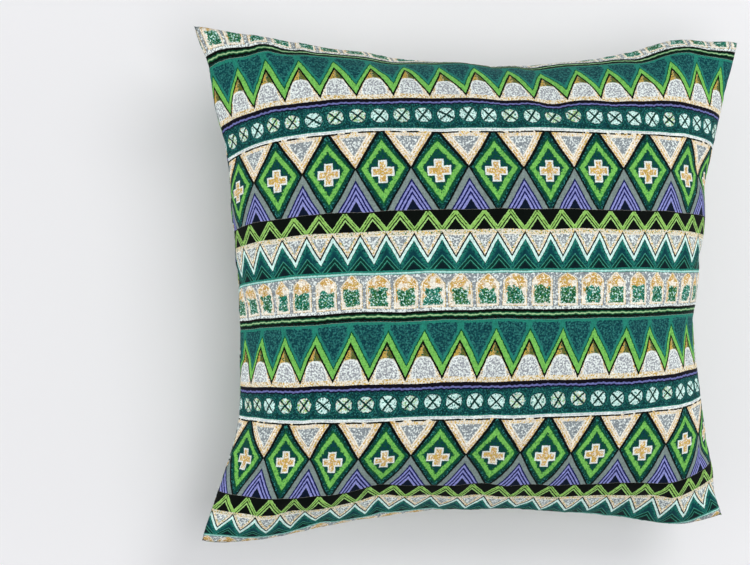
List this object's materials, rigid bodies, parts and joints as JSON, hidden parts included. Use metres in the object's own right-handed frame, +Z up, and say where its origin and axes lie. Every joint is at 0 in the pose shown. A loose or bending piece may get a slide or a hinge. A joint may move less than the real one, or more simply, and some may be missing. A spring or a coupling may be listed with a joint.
{
  "type": "cushion cover",
  "caption": "Filled cushion in a printed cotton cover with a knife-edge seam, lying on its back.",
  "frame": {"origin": "middle of the flat patch on the back that the cushion rests on, under the middle of its box", "axes": "+Z up, out of the printed front; +Y towards the top of the print; +X to the right, seen from the front"},
  "size_m": [0.4408, 0.3972, 0.163],
  "materials": {
    "printed_cotton": "plain-weave cotton, printed in bands of zigzags, lozenges, dots and arches in greens, teal, lavender, cream and ochre"
  },
  "bodies": {
    "root": {"cushion_cover": "printed_cotton"}
  },
  "joints": []
}
